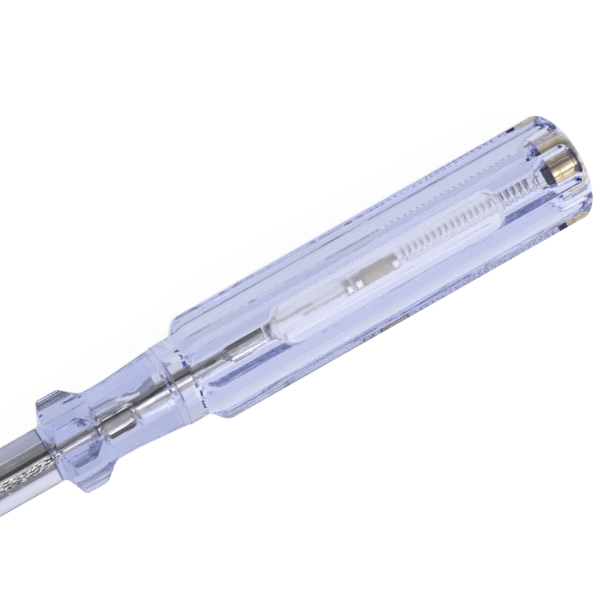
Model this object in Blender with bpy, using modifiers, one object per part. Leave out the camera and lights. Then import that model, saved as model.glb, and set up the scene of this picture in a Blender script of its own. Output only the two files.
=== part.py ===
"""Voltage tester screwdriver, modelled in metres.

The tool lies along +X, from the centre of the blade's tip at the origin to the rear rim of the
handle. +Z is the side of the flat window pad, and the tool rests on its -Z side.
"""

import math

import bmesh
import bpy
from mathutils import Matrix, Vector

# Whole tool
TOOL_LENGTH = 0.145
HANDLE_LENGTH = 0.0869
GAP = 0.0003
OVERRUN = 0.001

# Blade and rod
ROD_RADIUS = 0.0015
BLADE_TIP_THICKNESS = 0.0007
BLADE_FLAT_LENGTH = 0.004
BLADE_TAPER_LENGTH = 0.009
BARE_BLADE_LENGTH = 0.017
TAIL_END_FROM_NOSE = 0.03485
TAIL_LENGTH = 0.0054
TAIL_WIDTH = 0.0046
TAIL_THICKNESS = 0.0012
TAIL_FLARE_LENGTH = 0.0008
TAIL_CHAMFER = 0.0004

# Crimp that keys the rod into the neck of the handle
CRIMP_FROM_NOSE = 0.0077
CRIMP_LENGTH = 0.0057
CRIMP_WIDTH = 0.002
CRIMP_HEIGHT = 0.00162
CRIMP_RIM = 0.0004
CRIMP_DEPTH = 0.00032
CRIMP_TURN_DEG = 35.0
CRIMP_POCKET_MARGIN = 0.0009
COLLAR_LENGTH = 0.0004

# Insulating sleeve on the shank
SLEEVE_RADIUS = 0.00426
SLEEVE_CHAMFER = 0.0008

# Guard with six grooves in line with the grip's flutes
GUARD_RADIUS = 0.0075
GROOVE_COUNT = 6
GROOVE_SPAN_DEG = 51.0
GROOVE_FLOOR_HEIGHT = 0.0055
GROOVE_FLOOR_WIDTH = 0.002
NOSE_FLAT_LENGTH = 0.0006
NOSE_RISE = 0.0001
GUARD_RAMP_LENGTH = 0.0014
GUARD_TOP_LENGTH = 0.0034
GUARD_BACK_LENGTH = 0.0026
GUARD_FRONT_FILLET = 0.0008
GUARD_FRONT_ROUND = 0.0006
GUARD_BACK_ROUND = 0.0012
GUARD_BACK_FILLET = 0.0025

# Neck and ring
NECK_RADIUS = 0.0054
NECK_STRAIGHT_LENGTH = 0.0035
NECK_FLARE_LENGTH = 0.0082
NECK_REAR_RADIUS = 0.0061
NECK_FLARE_FILLET = 0.03
RING_RADIUS = 0.00625
RING_LENGTH = 0.0032

# Grip
GRIP_RADIUS = 0.00831
SHOULDER_LENGTH = 0.00175
SHOULDER_FILLET = 0.0003
SHOULDER_ROUND = 0.002
DOME_LENGTH = 0.0036
FLUTE_COUNT = 6
FLUTE_SPAN_DEG = 45.0
FLUTE_DEPTH = 0.0008
FLUTE_FLOOR_WIDTH = 0.003

# Flat window pad that fills the front flute
PAD_INSET = 0.00006
PAD_FRONT_FROM_NOSE = 0.0352
PAD_LENGTH = 0.0382
PAD_END_REACH = 0.0024
PAD_SLOPE_LENGTH = 0.003
PAD_ROOT_DEPTH = 0.00025

# Bore of the handle, from the lamp to the plug
CHAMBER_RADIUS = 0.00275

# Neon lamp
LAMP_RADIUS = 0.00235
LAMP_WALL = 0.0005
LAMP_GLASS_LENGTH = 0.0113
LAMP_CAP_LENGTH = 0.0009
LAMP_CAP_RADIUS = 0.0022
LAMP_NUB_LENGTH = 0.0002
LAMP_NUB_RADIUS = 0.0009
LAMP_CAP_CHAMFER = 0.0002
ELECTRODE_RADIUS = 0.00035
ELECTRODE_LENGTH = 0.0066
ELECTRODE_OFFSET = 0.0007
ELECTRODE_TIP_ROUND = 0.00015

# Series resistor
RESISTOR_RADIUS = 0.0019
RESISTOR_BODY_LENGTH = 0.0042
RESISTOR_WAIST_DEPTH = 0.00015
RESISTOR_CAP_RADIUS = 0.0021
RESISTOR_CAP_LENGTH = 0.0012
RESISTOR_CAP_CHAMFER = 0.0002

# Contact spring
SPRING_RADIUS = 0.002
SPRING_WIRE = 0.00038
SPRING_TURNS = 21
SPRING_BEND_RADIUS = 0.0004
SPRING_POINTS_PER_TURN = 9
SPRING_BEND_POINTS = 4

# Brass end plug with a nose that slopes at 45 degrees
PLUG_LENGTH = 0.0065
PLUG_NOSE_RADIUS = 0.0027
PLUG_RADIUS = 0.0042
PLUG_HEAD_RADIUS = 0.0044
PLUG_HEAD_LENGTH = 0.0012
PLUG_FLARE_LENGTH = 0.0006
PLUG_SLOT_WIDTH = 0.001
PLUG_SLOT_DEPTH = 0.001

# Fineness of the faceted solids
HANDLE_STEPS = 48
BORE_STEPS = 24
ROUND_STEPS = 24
SMALL_STEPS = 12
FILLET_STEPS = 4
DOME_STEPS = 7
END_ARC_STEPS = 10
SHARP_DEG = 30.0
MERGE_DISTANCE = 0.00001

# Places along the axis that several pieces share
NOSE = TOOL_LENGTH - HANDLE_LENGTH
SLEEVE_START = BARE_BLADE_LENGTH
SLEEVE_END = NOSE - GAP
GUARD_FOOT = NOSE + NOSE_FLAT_LENGTH
GUARD_FRONT = GUARD_FOOT + GUARD_RAMP_LENGTH
GUARD_REAR = GUARD_FRONT + GUARD_TOP_LENGTH
NECK_START = GUARD_REAR + GUARD_BACK_LENGTH
NECK_FLARE = NECK_START + NECK_STRAIGHT_LENGTH
RING_START = NECK_FLARE + NECK_FLARE_LENGTH
RING_END = RING_START + RING_LENGTH
GRIP_START = RING_END + SHOULDER_LENGTH
CRIMP_START = NOSE + CRIMP_FROM_NOSE
CRIMP_CENTRE = CRIMP_START + CRIMP_LENGTH / 2
PAD_START = NOSE + PAD_FRONT_FROM_NOSE
PAD_CENTRE = PAD_START + PAD_LENGTH / 2
PLUG_INNER_END = TOOL_LENGTH - PLUG_LENGTH
PLUG_NOSE_END = PLUG_INNER_END + PLUG_RADIUS - PLUG_NOSE_RADIUS

# Radii that follow from a neighbour and the clearance
ROD_BORE_RADIUS = ROD_RADIUS + GAP
CRIMP_REACH = math.hypot(CRIMP_HEIGHT, CRIMP_WIDTH / 2)
CRIMP_POCKET_RADIUS = CRIMP_REACH + GAP
SEAT_RADIUS = PLUG_RADIUS + GAP
SEAT_MOUTH_RADIUS = PLUG_HEAD_RADIUS + GAP
FLUTE_CHORD_HEIGHT = GRIP_RADIUS * math.cos(math.radians(FLUTE_SPAN_DEG / 2))
FLUTE_FLOOR_HEIGHT = FLUTE_CHORD_HEIGHT - FLUTE_DEPTH
PAD_HEIGHT = FLUTE_CHORD_HEIGHT - PAD_INSET

# Pieces stacked in the bore, from the rod's tail to the plug
TAIL_END = NOSE + TAIL_END_FROM_NOSE
TAIL_START = TAIL_END - TAIL_LENGTH - TAIL_FLARE_LENGTH
CHAMBER_START = RING_START + COLLAR_LENGTH / 2
LAMP_START = TAIL_END + GAP
LAMP_CAP_SPAN = LAMP_CAP_LENGTH + LAMP_NUB_LENGTH
LAMP_GLASS_START = LAMP_START + LAMP_CAP_SPAN + GAP
LAMP_GLASS_END = LAMP_GLASS_START + LAMP_GLASS_LENGTH
LAMP_END = LAMP_GLASS_END + GAP + LAMP_CAP_SPAN
RESISTOR_START = LAMP_END + GAP
RESISTOR_BODY_START = RESISTOR_START + RESISTOR_CAP_LENGTH + GAP
RESISTOR_BODY_END = RESISTOR_BODY_START + RESISTOR_BODY_LENGTH
RESISTOR_END = RESISTOR_BODY_END + GAP + RESISTOR_CAP_LENGTH
SPRING_START = RESISTOR_END + GAP
SPRING_END = PLUG_INNER_END - GAP

# Axes of an outline, as the matrix that lays the outline's own x, y and depth on the tool
ACROSS_AXIS = Matrix(((0, 0, 1, 0), (1, 0, 0, 0), (0, 1, 0, 0), (0, 0, 0, 1)))
SIDE_VIEW = Matrix.Rotation(math.radians(90.0), 4, "X")
TOP_VIEW = Matrix.Identity(4)
ALONG_AXIS = Matrix.Rotation(math.radians(90.0), 4, "Y")


def clear_scene():
    """Remove every object and collection."""
    for obj in list(bpy.data.objects):
        bpy.data.objects.remove(obj, do_unlink=True)
    for collection in list(bpy.data.collections):
        bpy.data.collections.remove(collection)


def new_collection(name):
    """Add a collection to the scene."""
    collection = bpy.data.collections.new(name)
    bpy.context.scene.collection.children.link(collection)
    return collection


clear_scene()
PARTS = new_collection("voltage_tester_screwdriver")
CUTTERS = new_collection("cutters")


def new_material(name, colour, metallic, roughness, transmission=0.0):
    """Make a Principled material with the piece's own finish."""
    material = bpy.data.materials.new(name)
    material.use_nodes = True
    shader = material.node_tree.nodes["Principled BSDF"]
    shader.inputs["Base Color"].default_value = (*colour, 1.0)
    shader.inputs["Metallic"].default_value = metallic
    shader.inputs["Roughness"].default_value = roughness
    shader.inputs["Transmission Weight"].default_value = transmission
    material.diffuse_color = (*colour, 1.0)
    return material


def place(obj, collection):
    """Link an object to a collection, and keep a cutter out of the model."""
    collection.objects.link(obj)
    if collection is CUTTERS:
        obj.hide_render = True
        obj.display_type = "WIRE"
    bpy.context.view_layer.update()
    return obj


def evaluated_mesh(obj):
    """Return a new mesh with the object's modifiers or curve settings worked in."""
    depsgraph = bpy.context.evaluated_depsgraph_get()
    return bpy.data.meshes.new_from_object(obj.evaluated_get(depsgraph), depsgraph=depsgraph)


def weld(mesh):
    """Join the loose points of a mesh and turn its faces outwards."""
    points = bmesh.new()
    points.from_mesh(mesh)
    bmesh.ops.remove_doubles(points, verts=points.verts, dist=MERGE_DISTANCE)
    bmesh.ops.recalc_face_normals(points, faces=points.faces)
    points.to_mesh(mesh)
    points.free()


def mesh_from_curve(curve_object, collection):
    """Replace a curve object by a welded mesh object in the same place."""
    mesh = evaluated_mesh(curve_object)
    weld(mesh)
    obj = bpy.data.objects.new(curve_object.name, mesh)
    obj.matrix_world = curve_object.matrix_world
    name = curve_object.name
    bpy.data.objects.remove(curve_object, do_unlink=True)
    obj.name = name
    return place(obj, collection)


def lathe(name, profile, steps, collection, phase_deg=0.0, closed=False):
    """Turn a profile of (station along +X, radius) points, front to rear, about the tool's axis.

    A closed profile runs forward along its outer side and back along its bore.
    """
    order = profile if closed else list(reversed(profile))
    verts = [(radius, 0.0, station) for station, radius in order]
    edges = [(index, index + 1) for index in range(len(verts) - 1)]
    if closed:
        edges.append((len(verts) - 1, 0))
    mesh = bpy.data.meshes.new(name)
    mesh.from_pydata(verts, edges, [])
    obj = bpy.data.objects.new(name, mesh)
    obj.matrix_world = ALONG_AXIS @ Matrix.Rotation(math.radians(phase_deg), 4, "Z")
    turn = obj.modifiers.new("turn", "SCREW")
    turn.axis = "Z"
    turn.steps = steps
    turn.render_steps = steps
    turn.use_merge_vertices = True
    turn.merge_threshold = MERGE_DISTANCE
    turn.use_smooth_shade = True
    return place(obj, collection)


def prism(name, outlines, depth, placing, collection):
    """Extrude flat outlines to half the depth on each side of their plane."""
    curve = bpy.data.curves.new(name, "CURVE")
    curve.dimensions = "2D"
    curve.fill_mode = "BOTH"
    curve.extrude = depth / 2
    for outline in outlines:
        spline = curve.splines.new("POLY")
        spline.points.add(len(outline) - 1)
        for point, (across, up) in zip(spline.points, outline):
            point.co = (across, up, 0.0, 1.0)
        spline.use_cyclic_u = True
    obj = bpy.data.objects.new(name, curve)
    obj.matrix_world = placing
    place(obj, collection)
    return mesh_from_curve(obj, collection)


def boolean(obj, other, operation):
    """Cut or join an object with another one."""
    modifier = obj.modifiers.new(other.name, "BOOLEAN")
    modifier.operation = operation
    modifier.object = other
    modifier.solver = "EXACT"


def finish(obj, material, origin=0.0):
    """Settle a piece into a plain mesh with its origin on the axis at a station."""
    mesh = evaluated_mesh(obj)
    weld(mesh)
    mesh.transform(Matrix.Translation((-origin, 0.0, 0.0)) @ obj.matrix_world)
    obj.modifiers.clear()
    obj.data = mesh
    obj.matrix_world = Matrix.Translation((origin, 0.0, 0.0))
    mesh.shade_smooth()
    mesh.set_sharp_from_angle(angle=math.radians(SHARP_DEG))
    mesh.materials.clear()
    mesh.materials.append(material)
    return obj


def rounded(corners):
    """Return the points of a path through (x, y, fillet radius) corners, with real arcs."""
    points = []
    last = len(corners) - 1
    for index, (x, y, radius) in enumerate(corners):
        corner = Vector((x, y))
        if index in (0, last) or radius == 0:
            points.append((x, y))
            continue
        before = (Vector(corners[index - 1][:2]) - corner).normalized()
        after = (Vector(corners[index + 1][:2]) - corner).normalized()
        half = before.angle(after) / 2
        centre = corner + (before + after).normalized() * (radius / math.sin(half))
        start = corner + before * (radius / math.tan(half)) - centre
        finish_point = corner + after * (radius / math.tan(half)) - centre
        sweep = start.angle_signed(finish_point)
        for step in range(FILLET_STEPS + 1):
            spoke = start.copy()
            spoke.rotate(Matrix.Rotation(-sweep * step / FILLET_STEPS, 2))
            points.append(tuple(centre + spoke))
    return points


def handle_profile():
    """Outer profile of the handle, with its guard, neck, ring, shoulder and domed end."""
    corners = [
        (NOSE, SLEEVE_RADIUS, 0),
        (GUARD_FOOT, SLEEVE_RADIUS + NOSE_RISE, GUARD_FRONT_FILLET),
        (GUARD_FRONT, GUARD_RADIUS, GUARD_FRONT_ROUND),
        (GUARD_REAR, GUARD_RADIUS, GUARD_BACK_ROUND),
        (NECK_START, NECK_RADIUS, GUARD_BACK_FILLET),
        (NECK_FLARE, NECK_RADIUS, NECK_FLARE_FILLET),
        (RING_START, NECK_REAR_RADIUS, 0),
        (RING_START, RING_RADIUS, 0),
        (RING_END, RING_RADIUS, SHOULDER_FILLET),
        (GRIP_START, GRIP_RADIUS, SHOULDER_ROUND),
    ]
    rim_share = math.sqrt(1 - (SEAT_MOUTH_RADIUS / GRIP_RADIUS) ** 2)
    dome_start = TOOL_LENGTH - DOME_LENGTH * rim_share
    corners.append((dome_start, GRIP_RADIUS, 0))
    points = [(NOSE, 0.0)] + rounded(corners)
    for step in range(1, DOME_STEPS + 1):
        turn = math.asin(rim_share) * step / DOME_STEPS
        points.append((dome_start + DOME_LENGTH * math.sin(turn), GRIP_RADIUS * math.cos(turn)))
    points.append((TOOL_LENGTH, 0.0))
    return points


def bore_profile():
    """Stepped bore for the rod, the lamp stack, the spring and the plug."""
    pocket_start = CRIMP_START - CRIMP_POCKET_MARGIN
    pocket_end = RING_START - COLLAR_LENGTH / 2
    pocket_slope = CRIMP_POCKET_RADIUS - ROD_BORE_RADIUS
    cone_rise = SEAT_RADIUS - CHAMBER_RADIUS
    seat_start = PLUG_NOSE_END + GAP - GAP * math.sqrt(2)
    flare_start = TOOL_LENGTH - PLUG_HEAD_LENGTH - PLUG_FLARE_LENGTH
    return [
        (NOSE - OVERRUN, 0.0),
        (NOSE - OVERRUN, ROD_BORE_RADIUS),
        (pocket_start - pocket_slope, ROD_BORE_RADIUS),
        (pocket_start, CRIMP_POCKET_RADIUS),
        (pocket_end, CRIMP_POCKET_RADIUS),
        (pocket_end, ROD_BORE_RADIUS),
        (CHAMBER_START, ROD_BORE_RADIUS),
        (CHAMBER_START, CHAMBER_RADIUS),
        (seat_start - cone_rise, CHAMBER_RADIUS),
        (seat_start, SEAT_RADIUS),
        (flare_start, SEAT_RADIUS),
        (flare_start + PLUG_FLARE_LENGTH, SEAT_MOUTH_RADIUS),
        (TOOL_LENGTH + OVERRUN, SEAT_MOUTH_RADIUS),
        (TOOL_LENGTH + OVERRUN, 0.0),
    ]


def turned_point(radius, degrees):
    """Point at a radius and an angle from +Z, in the plane across the axis."""
    return (radius * math.sin(math.radians(degrees)), radius * math.cos(math.radians(degrees)))


def repeated(outline, count):
    """The same outline, repeated evenly round the tool's axis."""
    spins = [Matrix.Rotation(-2 * math.pi * index / count, 2) for index in range(count)]
    return [[tuple(spin @ Vector(point)) for point in outline] for spin in spins]


def channel_outlines(skin_radius, span_deg, floor_height, floor_width, count):
    """Outlines of even channels round the axis, each with a flat floor and flanks that open outwards."""
    floor = Vector((floor_width / 2, floor_height))
    crest = Vector(turned_point(skin_radius, span_deg / 2))
    lip = crest + (crest - floor).normalized() * OVERRUN / 2
    side = [tuple(floor), tuple(lip), (lip.x, skin_radius + 2 * OVERRUN)]
    outline = side + [(-across, up) for across, up in reversed(side)]
    return repeated(outline, count)


def groove_outlines():
    """Outlines of the guard's grooves."""
    return channel_outlines(
        GUARD_RADIUS, GROOVE_SPAN_DEG, GROOVE_FLOOR_HEIGHT, GROOVE_FLOOR_WIDTH, GROOVE_COUNT
    )


def flute_outlines():
    """Outlines of the grip's shallow flutes."""
    return channel_outlines(
        GRIP_RADIUS, FLUTE_SPAN_DEG, FLUTE_FLOOR_HEIGHT, FLUTE_FLOOR_WIDTH, FLUTE_COUNT
    )


def stadium(half_length, half_width, end_reach):
    """Outline with straight sides and elliptic ends, centred on its own origin."""
    centre = half_length - end_reach
    points = []
    for side, start in ((1, -90.0), (-1, 90.0)):
        for step in range(END_ARC_STEPS + 1):
            turn = math.radians(start + 180.0 * step / END_ARC_STEPS)
            across = side * centre + end_reach * math.cos(turn)
            points.append((across, half_width * math.sin(turn)))
    return points


def make_pad_block():
    """Block that fills the front flute up to the flat window pad, with sloping ends."""
    half_chord = GRIP_RADIUS * math.sin(math.radians(FLUTE_SPAN_DEG / 2))
    flank_run = (half_chord - FLUTE_FLOOR_WIDTH / 2) / FLUTE_DEPTH
    flute_half = half_chord - PAD_INSET * flank_run
    skin_half = math.sqrt(GRIP_RADIUS**2 - PAD_HEIGHT**2)
    half_width = (flute_half + skin_half) / 2
    rise = PAD_HEIGHT - FLUTE_FLOOR_HEIGHT
    root_spread = PAD_SLOPE_LENGTH * PAD_ROOT_DEPTH / rise
    half_length = PAD_LENGTH / 2 + root_spread
    depth = rise + PAD_ROOT_DEPTH
    placing = Matrix.Translation((PAD_CENTRE, 0.0, PAD_HEIGHT - depth / 2))
    block = prism("pad_block", [stadium(half_length, half_width, PAD_END_REACH)], depth, placing, CUTTERS)
    straight = half_length - PAD_END_REACH
    for vertex in block.data.vertices:
        if vertex.co.z > 0 and abs(vertex.co.x) > straight - MERGE_DISTANCE:
            vertex.co.x -= math.copysign(PAD_SLOPE_LENGTH + root_spread, vertex.co.x)
    return block


def make_handle(material):
    """Clear moulded handle: guard, neck, ring, fluted grip, window pad and stepped bore."""
    handle = lathe("handle_body", handle_profile(), HANDLE_STEPS, PARTS, 180 / HANDLE_STEPS)
    groove_length = NECK_START + NECK_STRAIGHT_LENGTH / 2 - NOSE + OVERRUN
    groove_middle = NOSE - OVERRUN + groove_length / 2
    groove_place = Matrix.Translation((groove_middle, 0.0, 0.0)) @ ACROSS_AXIS
    grooves = prism("guard_grooves", groove_outlines(), groove_length, groove_place, CUTTERS)
    boolean(handle, grooves, "DIFFERENCE")
    flute_start = RING_START + RING_LENGTH / 2
    flute_length = TOOL_LENGTH + OVERRUN - flute_start
    flute_place = Matrix.Translation((flute_start + flute_length / 2, 0.0, 0.0)) @ ACROSS_AXIS
    flutes = prism("grip_flutes", flute_outlines(), flute_length, flute_place, CUTTERS)
    boolean(handle, flutes, "DIFFERENCE")
    boolean(handle, make_pad_block(), "UNION")
    bore = lathe("handle_bore", bore_profile(), BORE_STEPS, CUTTERS)
    boolean(handle, bore, "DIFFERENCE")
    return finish(handle, material)


def make_rod(material):
    """Steel rod: flat blade tip, crimp in the neck and a flattened tail in the chamber."""
    rod_end = TAIL_START + TAIL_FLARE_LENGTH
    profile = [(0.0, 0.0), (0.0, ROD_RADIUS), (rod_end, ROD_RADIUS), (rod_end, 0.0)]
    rod = lathe("blade_rod", profile, ROUND_STEPS, PARTS)

    half_tip = BLADE_TIP_THICKNESS / 2
    taper_end = BLADE_FLAT_LENGTH + BLADE_TAPER_LENGTH
    outer = ROD_RADIUS + OVERRUN
    taper_slope = (ROD_RADIUS - half_tip) / BLADE_TAPER_LENGTH
    upper = [
        (-OVERRUN, half_tip),
        (BLADE_FLAT_LENGTH, half_tip),
        (taper_end + OVERRUN, ROD_RADIUS + taper_slope * OVERRUN),
        (taper_end + OVERRUN, outer),
        (-OVERRUN, outer),
    ]
    lower = [(along, -up) for along, up in upper]
    wedges = prism("blade_wedges", [upper, lower], 2 * outer, SIDE_VIEW, CUTTERS)
    boolean(rod, wedges, "DIFFERENCE")

    half_tail = TAIL_WIDTH / 2
    flat_start = TAIL_START - TAIL_FLARE_LENGTH
    half_outline = [
        (flat_start, ROD_RADIUS - GAP),
        (TAIL_START, ROD_RADIUS - GAP),
        (rod_end, half_tail),
        (TAIL_END - TAIL_CHAMFER, half_tail),
        (TAIL_END, half_tail - TAIL_CHAMFER),
    ]
    outline = half_outline + [(along, -across) for along, across in reversed(half_outline)]
    tail = prism("rod_tail", [outline], TAIL_THICKNESS, TOP_VIEW, CUTTERS)
    boolean(rod, tail, "UNION")

    turn = Matrix.Rotation(math.radians(CRIMP_TURN_DEG), 4, "X")
    ear_place = turn @ Matrix.Translation((CRIMP_CENTRE, 0.0, CRIMP_HEIGHT / 2))
    ear_outline = stadium(CRIMP_LENGTH / 2, CRIMP_WIDTH / 2, CRIMP_WIDTH / 2)
    ear = prism("crimp_ear", [ear_outline], CRIMP_HEIGHT, ear_place, CUTTERS)
    boolean(rod, ear, "UNION")
    inner_half = CRIMP_WIDTH / 2 - CRIMP_RIM
    recess_outline = stadium(CRIMP_LENGTH / 2 - CRIMP_RIM, inner_half, inner_half)
    recess_depth = CRIMP_DEPTH + OVERRUN
    recess_middle = CRIMP_HEIGHT - CRIMP_DEPTH + recess_depth / 2
    recess_place = turn @ Matrix.Translation((CRIMP_CENTRE, 0.0, recess_middle))
    recess = prism("crimp_recess", [recess_outline], recess_depth, recess_place, CUTTERS)
    boolean(rod, recess, "DIFFERENCE")
    return finish(rod, material)


def make_sleeve(material):
    """Clear insulating sleeve, pushed along the shank up to the guard's nose."""
    profile = [
        (SLEEVE_END, ROD_BORE_RADIUS),
        (SLEEVE_END, SLEEVE_RADIUS),
        (SLEEVE_START + SLEEVE_CHAMFER, SLEEVE_RADIUS),
        (SLEEVE_START, SLEEVE_RADIUS - SLEEVE_CHAMFER),
        (SLEEVE_START, ROD_BORE_RADIUS),
    ]
    sleeve = lathe("shank_sleeve", profile, ROUND_STEPS, PARTS, closed=True)
    return finish(sleeve, material)


def make_lamp(glass, nickel):
    """Neon lamp: glass tube, an end cap at each end and two electrodes side by side."""
    bore = LAMP_RADIUS - LAMP_WALL
    tube = [
        (LAMP_GLASS_END, bore),
        (LAMP_GLASS_END, LAMP_RADIUS),
        (LAMP_GLASS_START, LAMP_RADIUS),
        (LAMP_GLASS_START, bore),
    ]
    finish(lathe("neon_glass", tube, ROUND_STEPS, PARTS, closed=True), glass, LAMP_GLASS_START)

    ends = (
        ("neon_front_cap", LAMP_START, 1, "neon_front_electrode"),
        ("neon_rear_cap", LAMP_END, -1, "neon_rear_electrode"),
    )
    for cap_name, contact, way, electrode_name in ends:
        corner = LAMP_CAP_RADIUS - LAMP_CAP_CHAMFER
        profile = [
            (0.0, 0.0),
            (0.0, LAMP_NUB_RADIUS),
            (LAMP_NUB_LENGTH, LAMP_NUB_RADIUS),
            (LAMP_NUB_LENGTH, corner),
            (LAMP_NUB_LENGTH + LAMP_CAP_CHAMFER, LAMP_CAP_RADIUS),
            (LAMP_CAP_SPAN, LAMP_CAP_RADIUS),
            (LAMP_CAP_SPAN, 0.0),
        ]
        stations = [(contact + way * along, radius) for along, radius in profile]
        if way < 0:
            stations.reverse()
        finish(lathe(cap_name, stations, ROUND_STEPS, PARTS), nickel, contact)

        root = LAMP_CAP_SPAN + GAP
        tip = root + ELECTRODE_LENGTH
        wire = [
            (root, 0.0),
            (root, ELECTRODE_RADIUS),
            (tip - ELECTRODE_TIP_ROUND, ELECTRODE_RADIUS),
            (tip, ELECTRODE_RADIUS - ELECTRODE_TIP_ROUND),
            (tip, 0.0),
        ]
        stations = [(contact + way * along, radius) for along, radius in wire]
        if way < 0:
            stations.reverse()
        electrode = lathe(electrode_name, stations, SMALL_STEPS, PARTS)
        aside = Matrix.Translation((0.0, way * ELECTRODE_OFFSET, 0.0))
        electrode.matrix_world = aside @ electrode.matrix_world
        bpy.context.view_layer.update()
        finish(electrode, nickel, contact)


def make_resistor(ceramic, nickel):
    """Series resistor: a coated rod between two pressed caps."""
    shoulder = RESISTOR_BODY_LENGTH / 4
    waist = RESISTOR_RADIUS - RESISTOR_WAIST_DEPTH
    body = [
        (RESISTOR_BODY_START, 0.0),
        (RESISTOR_BODY_START, RESISTOR_RADIUS),
        (RESISTOR_BODY_START + shoulder, RESISTOR_RADIUS),
        (RESISTOR_BODY_START + shoulder + RESISTOR_WAIST_DEPTH, waist),
        (RESISTOR_BODY_END - shoulder - RESISTOR_WAIST_DEPTH, waist),
        (RESISTOR_BODY_END - shoulder, RESISTOR_RADIUS),
        (RESISTOR_BODY_END, RESISTOR_RADIUS),
        (RESISTOR_BODY_END, 0.0),
    ]
    finish(lathe("resistor_body", body, ROUND_STEPS, PARTS), ceramic, RESISTOR_BODY_START)
    ends = (("resistor_front_cap", RESISTOR_START, 1), ("resistor_rear_cap", RESISTOR_END, -1))
    for name, face, way in ends:
        cap = [
            (face, 0.0),
            (face, RESISTOR_CAP_RADIUS - RESISTOR_CAP_CHAMFER),
            (face + way * RESISTOR_CAP_CHAMFER, RESISTOR_CAP_RADIUS),
            (face + way * RESISTOR_CAP_LENGTH, RESISTOR_CAP_RADIUS),
            (face + way * RESISTOR_CAP_LENGTH, 0.0),
        ]
        if way < 0:
            cap.reverse()
        finish(lathe(name, cap, ROUND_STEPS, PARTS), nickel, face)


def spring_points():
    """Centre line of the spring: straight ends along the axis, bends and an even helix."""
    bend_span = SPRING_WIRE + SPRING_BEND_RADIUS
    first = SPRING_START + bend_span
    last = SPRING_END - bend_span
    count = SPRING_TURNS * SPRING_POINTS_PER_TURN

    def helix_point(share):
        turn = 2 * math.pi * SPRING_TURNS * share
        along = first + (last - first) * share
        return Vector((along, SPRING_RADIUS * math.sin(turn), SPRING_RADIUS * math.cos(turn)))

    def end_points(share, way):
        """Bend and straight end that leave the helix towards way along the axis."""
        turn = 2 * math.pi * SPRING_TURNS * share
        tangent = way * Vector((0.0, math.cos(turn), -math.sin(turn)))
        axial = Vector((way, 0.0, 0.0))
        start = helix_point(share)
        points = []
        for step in range(1, SPRING_BEND_POINTS + 1):
            swing = math.radians(90.0) * step / SPRING_BEND_POINTS
            ahead = tangent * (SPRING_BEND_RADIUS * math.sin(swing))
            points.append(start + ahead + axial * (SPRING_BEND_RADIUS * (1 - math.cos(swing))))
        points.append(points[-1] + axial * SPRING_WIRE)
        return points

    front = list(reversed(end_points(0.0, -1)))
    middle = [helix_point(index / count) for index in range(count + 1)]
    rear = end_points(1.0, 1)
    return front + middle + rear


def least_self_gap(points):
    """Least distance between the spring's wire and itself, away from its own neighbours."""
    skip = SPRING_POINTS_PER_TURN - 2
    least = min(
        (points[first] - points[second]).length
        for first in range(len(points))
        for second in range(first + skip, len(points))
    )
    return least - SPRING_WIRE


def make_spring(material):
    """Contact spring between the resistor and the plug, one unbroken wire."""
    points = spring_points()
    print(f"spring: least gap to itself {least_self_gap(points) * 1000:.3f} mm")
    curve = bpy.data.curves.new("contact_spring", "CURVE")
    curve.dimensions = "3D"
    curve.bevel_depth = SPRING_WIRE / 2
    curve.bevel_resolution = 1
    curve.use_fill_caps = True
    spline = curve.splines.new("POLY")
    spline.points.add(len(points) - 1)
    for point, place_on_wire in zip(spline.points, points):
        point.co = (*place_on_wire, 1.0)
    obj = bpy.data.objects.new("contact_spring", curve)
    place(obj, PARTS)
    return finish(mesh_from_curve(obj, PARTS), material, SPRING_START)


def make_plug(material):
    """Brass end plug with a flared head and a slot across its face."""
    head_start = TOOL_LENGTH - PLUG_HEAD_LENGTH
    profile = [
        (PLUG_INNER_END, 0.0),
        (PLUG_INNER_END, PLUG_NOSE_RADIUS),
        (PLUG_NOSE_END, PLUG_RADIUS),
        (head_start - PLUG_FLARE_LENGTH, PLUG_RADIUS),
        (head_start, PLUG_HEAD_RADIUS),
        (TOOL_LENGTH, PLUG_HEAD_RADIUS),
        (TOOL_LENGTH, 0.0),
    ]
    plug = lathe("end_plug", profile, ROUND_STEPS, PARTS)
    half_slot = PLUG_SLOT_WIDTH / 2
    floor = TOOL_LENGTH - PLUG_SLOT_DEPTH
    outline = [
        (floor, -half_slot),
        (TOOL_LENGTH + OVERRUN, -half_slot),
        (TOOL_LENGTH + OVERRUN, half_slot),
        (floor, half_slot),
    ]
    width = 2 * (PLUG_HEAD_RADIUS + OVERRUN)
    slot = prism("plug_slot", [outline], width, SIDE_VIEW, CUTTERS)
    boolean(plug, slot, "DIFFERENCE")
    return finish(plug, material, PLUG_INNER_END)


def main():
    """Make every piece of the tool."""
    clear_plastic = new_material("clear_violet_plastic", (0.62, 0.64, 0.9), 0.0, 0.05, 1.0)
    sleeve_plastic = new_material("clear_sleeve_plastic", (0.7, 0.72, 0.92), 0.0, 0.12, 1.0)
    steel = new_material("nickel_plated_steel", (0.6, 0.59, 0.57), 1.0, 0.18)
    nickel = new_material("nickel", (0.66, 0.65, 0.62), 1.0, 0.25)
    glass = new_material("lamp_glass", (0.95, 0.95, 0.95), 0.0, 0.02, 1.0)
    ceramic = new_material("resistor_coating", (0.72, 0.6, 0.42), 0.0, 0.45)
    spring_steel = new_material("spring_steel", (0.62, 0.62, 0.63), 1.0, 0.2)
    brass = new_material("brass", (0.78, 0.57, 0.27), 1.0, 0.22)
    make_handle(clear_plastic)
    make_rod(steel)
    make_sleeve(sleeve_plastic)
    make_lamp(glass, nickel)
    make_resistor(ceramic, nickel)
    make_spring(spring_steel)
    make_plug(brass)
    bpy.context.view_layer.update()


main()
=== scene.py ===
"""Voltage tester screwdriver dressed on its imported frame: clear handle, steel, lamp, spring and brass."""

import math

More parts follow.
